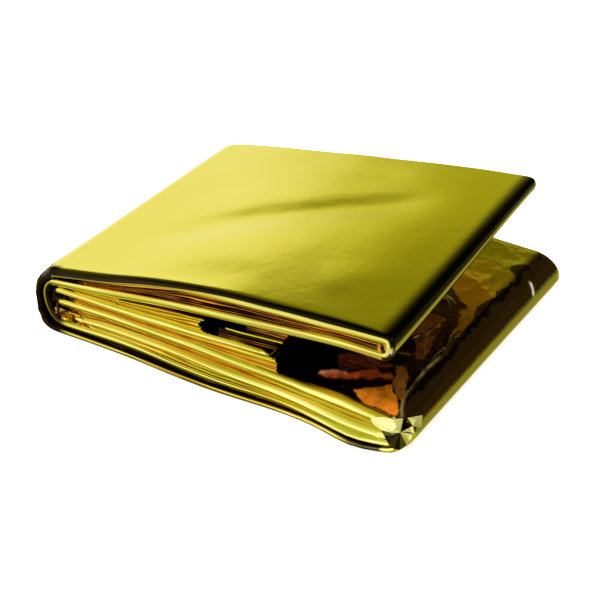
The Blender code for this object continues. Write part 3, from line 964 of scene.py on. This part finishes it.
class StudioNodes:
    """Short calls for the nodes that the studio's light and floor are made from."""

    def __init__(self, owner):
        owner.use_nodes = True
        self.nodes, self.links = owner.node_tree.nodes, owner.node_tree.links
        self.nodes.clear()

    def add(self, kind):
        return self.nodes.new("ShaderNode" + kind)

    def coordinates(self, kind):
        """A texture coordinate, and its X, Y and Z."""
        vector = self.add("TexCoord").outputs[kind]
        parts = self.add("SeparateXYZ")
        self.links.new(vector, parts.inputs[0])
        return vector, parts.outputs["X"], parts.outputs["Y"], parts.outputs["Z"]

    def math(self, operation, *values):
        node = self.add("Math")
        node.operation = operation
        for socket, value in zip(node.inputs, values):
            if isinstance(value, float):
                socket.default_value = value
            else:
                self.links.new(value, socket)
        return node.outputs[0]

    def ramp(self, value, low, high, at_low=0.0, at_high=1.0):
        """Smooth step of a value: at_low below low, at_high above high."""
        node = self.add("MapRange")
        node.interpolation_type = "SMOOTHSTEP"
        self.links.new(value, node.inputs["Value"])
        for socket, limit in (("From Min", low), ("From Max", high), ("To Min", at_low), ("To Max", at_high)):
            node.inputs[socket].default_value = limit
        return node.outputs["Result"]

    def facing(self, direction, azimuth, elevation=0.0):
        """Cosine of the angle to a direction, given clockwise from the back and up from the floor."""
        a, e = np.radians(azimuth), np.radians(elevation)
        node = self.add("VectorMath")
        node.operation = "DOT_PRODUCT"
        self.links.new(direction, node.inputs[0])
        node.inputs[1].default_value = (-np.sin(a) * np.cos(e), np.cos(a) * np.cos(e), np.sin(e))
        return node.outputs["Value"]

    def light(self, kind, strength):
        """Light of a strength L, white only where bright: red L, green 0.98 L, and blue L^3.6, at most L."""
        colour = self.add("CombineColor")
        self.links.new(strength, colour.inputs["Red"])
        self.links.new(self.math("MULTIPLY", strength, 0.98), colour.inputs["Green"])
        blue = self.math("POWER", strength, 3.6)
        self.links.new(self.math("MINIMUM", blue, strength), colour.inputs["Blue"])
        light = self.add(kind)
        self.links.new(colour.outputs["Color"], light.inputs["Color"])
        return light

    def both(self, first, second):
        total = self.add("AddShader")
        self.links.new(first.outputs[0], total.inputs[0])
        self.links.new(second.outputs[0], total.inputs[1])
        return total

    def finish(self, kind, mirrored, seen):
        """The film mirrors the first shader, and the camera sees the second."""
        choice = self.add("MixShader")
        self.links.new(self.add("LightPath").outputs["Is Camera Ray"], choice.inputs[0])
        self.links.new(mirrored.outputs[0], choice.inputs[1])
        self.links.new(seen.outputs[0], choice.inputs[2])
        self.links.new(choice.outputs[0], self.add(kind).inputs["Surface"])


def make_world():
    """A dark studio with a broad soft box low at the back left, and smaller lights round it and overhead."""
    world = bpy.data.worlds.new("studio")
    bpy.context.scene.world = world
    studio = StudioNodes(world)
    direction, _, _, height = studio.coordinates("Generated")
    # Back left box: brightest low down, a fifth of that above 29 degrees, gone at 60, dimmer to the right
    upward = studio.ramp(height, 0.33, 0.485, 1.0, 0.18)
    upward = studio.math("MULTIPLY", upward, studio.ramp(height, 0.10, 0.22, 0.93, 1.0))
    top_edge = studio.ramp(height, 0.78, 0.88, 1.0, 0.1)
    level = studio.math("SQRT", studio.math("SUBTRACT", 1.0, studio.math("POWER", height, 2.0)))
    turned = studio.math("DIVIDE", studio.facing(direction, 50.0), level)
    right_edge = studio.ramp(turned, 0.70, 0.86, 0.06, 1.0)
    right_dim = studio.ramp(turned, 0.925, 0.988, 0.38, 0.94)
    box = studio.math("MINIMUM", upward, right_dim)
    box = studio.math("MULTIPLY", box, top_edge)
    box = studio.math("MULTIPLY", box, right_edge)
    # Low light round the front left horizon
    horizon = studio.ramp(height, 0.10, 0.30, 0.6, 0.0)
    low_left = studio.math("MULTIPLY", horizon, studio.ramp(studio.facing(direction, 110.0), 0.30, 0.75))
    # Soft light from the front left, a small box overhead, one behind the camera and a dim one at the right
    front_left = studio.ramp(studio.facing(direction, 138.0), 0.30, 0.62)
    front_left = studio.math("MULTIPLY", front_left, studio.ramp(height, 0.15, 0.85, 1.25, 0.45))
    zenith = studio.ramp(height, 0.985, 0.995, 0.0, 0.8)
    behind = studio.ramp(studio.facing(direction, 205.0, 30.0), 0.80, 0.93)
    side = studio.ramp(studio.facing(direction, 283.0, 35.0), 0.88, 0.97, 0.0, 0.45)
    total = studio.math("MAXIMUM", box, low_left)
    total = studio.math("MAXIMUM", total, side)
    total = studio.math("MAXIMUM", total, front_left)
    total = studio.math("ADD", total, zenith)
    total = studio.math("ADD", total, behind)
    ambient = studio.add("Background")
    ambient.inputs["Color"].default_value = (1.0, 0.9, 0.6, 1.0)
    ambient.inputs["Strength"].default_value = 0.02
    mirrored = studio.both(studio.light("Background", total), ambient)
    studio.finish("OutputWorld", mirrored, studio.add("Background"))


def make_floor():
    """A pale floor. What the film mirrors of it is lit in front, behind and in a strip at the right."""
    half = 3.0
    corners = [(-half, -half, 0), (half, -half, 0), (half, half, 0), (-half, half, 0)]
    mesh = bpy.data.meshes.new("floor")
    mesh.from_pydata(corners, [], [(0, 1, 2, 3)])
    floor = bpy.data.objects.new("floor", mesh)
    bpy.context.scene.collection.objects.link(floor)
    material = bpy.data.materials.new("studio_floor")
    studio = StudioNodes(material)
    _, x, y, _ = studio.coordinates("Object")
    in_front = studio.ramp(y, -0.085, -0.052, 0.85, 0.16)
    behind = studio.ramp(studio.math("MULTIPLY_ADD", x, -1.2, y), 0.07, 0.12, 0.0, 0.8)
    behind = studio.math("MULTIPLY", behind, studio.ramp(y, -0.015, 0.02))
    at_right = studio.ramp(x, 0.052, 0.060, 0.0, 0.30)
    at_right = studio.math("MULTIPLY", at_right, studio.ramp(x, 0.083, 0.087, 1.0, 0.0))
    lit = studio.math("ADD", studio.math("ADD", in_front, behind), at_right)
    pale = studio.add("BsdfDiffuse")
    pale.inputs["Color"].default_value = (0.85, 0.85, 0.85, 1.0)
    glow = studio.add("Emission")
    glow.inputs["Strength"].default_value = 0.75
    studio.finish("OutputMaterial", studio.light("Emission", lit), studio.both(pale, glow))
    mesh.materials.append(material)


def make_light():
    """One broad soft light overhead, which the mirror film itself doesn't show."""
    data = bpy.data.lights.new("overhead", "AREA")
    data.shape = "DISK"
    data.size = 1.2
    data.energy = 13.0
    light = bpy.data.objects.new("overhead", data)
    light.location = (-0.1, -0.1, 1.1)
    light.visible_glossy = False
    bpy.context.scene.collection.objects.link(light)


def make_camera():
    """At its distance from the target, turned by the azimuth and raised by the elevation."""
    a, e = np.radians(CAMERA_AZIMUTH), np.radians(CAMERA_ELEVATION)
    back = np.array([np.sin(a) * np.cos(e), -np.cos(a) * np.cos(e), np.sin(e)])
    data = bpy.data.cameras.new("camera")
    data.lens = CAMERA_LENS
    data.sensor_width = 36.0
    data.clip_start = 0.01
    camera = bpy.data.objects.new("camera", data)
    camera.location = np.array(CAMERA_TARGET) + back * CAMERA_DISTANCE
    camera.rotation_euler = (np.pi / 2 - e, 0.0, a)
    bpy.context.scene.collection.objects.link(camera)
    bpy.context.scene.camera = camera


make_camera()
make_world()
make_floor()
make_light()
bpy.context.scene.view_settings.view_transform = "Standard"

gold = film_material("gold_film")
film, film_length = make_film(gold)
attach(film, "root")
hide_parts("foil_blanket")
plies = [make_plies(gold, "front_plies", -1, 61), make_plies(gold, "back_plies", 1, 71)]
plies += [make_open_top(gold), make_pinched_corner(gold), make_scraps(gold)]
for ply in plies:
    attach(ply, "root")
